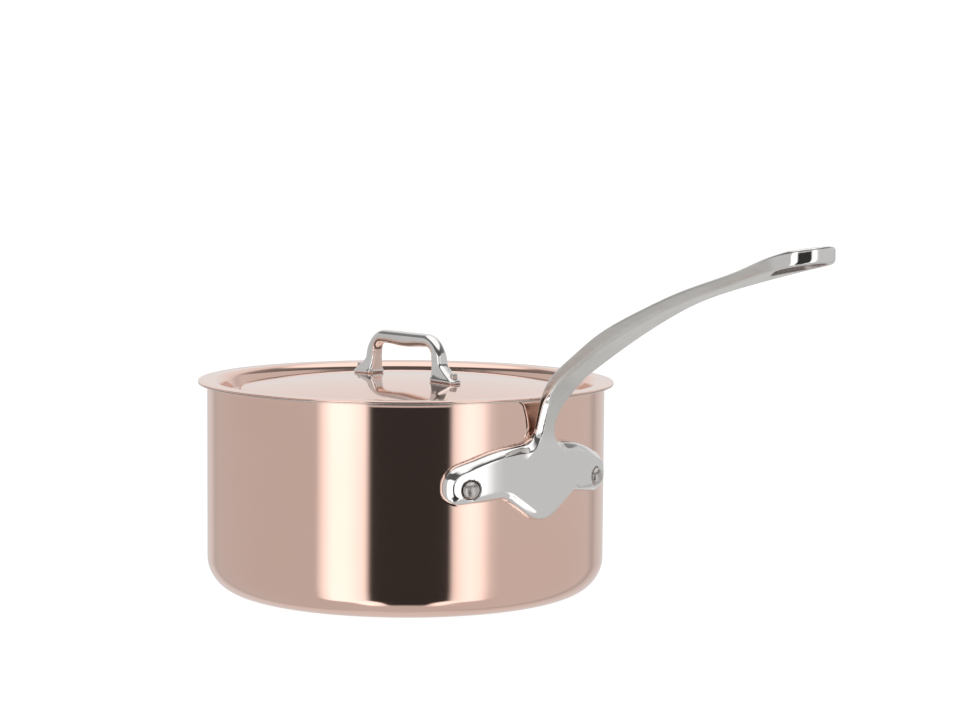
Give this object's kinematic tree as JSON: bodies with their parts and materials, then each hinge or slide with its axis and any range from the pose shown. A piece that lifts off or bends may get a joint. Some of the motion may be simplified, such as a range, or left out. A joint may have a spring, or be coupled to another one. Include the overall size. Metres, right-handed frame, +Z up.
{
  "type": "saucepan with lid",
  "caption": "Straight-walled polished copper saucepan, steel lined, with a long cast steel handle and a drop-in copper lid with a bridge handle.",
  "frame": {"origin": "centre of the pan's flat base, on its underside", "axes": "+Z up along the pan's axis, +X out along the long handle"},
  "size_m": [0.3917, 0.2134, 0.1885],
  "materials": {
    "copper": "mirror polished copper",
    "lining_steel": "fine brushed stainless",
    "cast_steel": "satin cast stainless, polished plate and end",
    "polished_steel": "polished cast stainless",
    "rivet_steel": "plain stainless rivet"
  },
  "bodies": {
    "pan": {"pan_copper_shell": "copper", "pan_steel_lining": "lining_steel", "handle": "cast_steel", "handle_rivet_left": "rivet_steel", "handle_rivet_right": "rivet_steel"},
    "lid": {"lid_copper_shell": "copper", "lid_steel_lining": "lining_steel", "lid_handle": "polished_steel", "lid_rivet_front": "rivet_steel", "lid_rivet_back": "rivet_steel"}
  },
  "joints": [
    {"name": "lid_lift", "type": "slide", "parent": "pan", "child": "lid", "axis": [0, 0, 1], "range_m": [0, 0.12]}
  ]
}
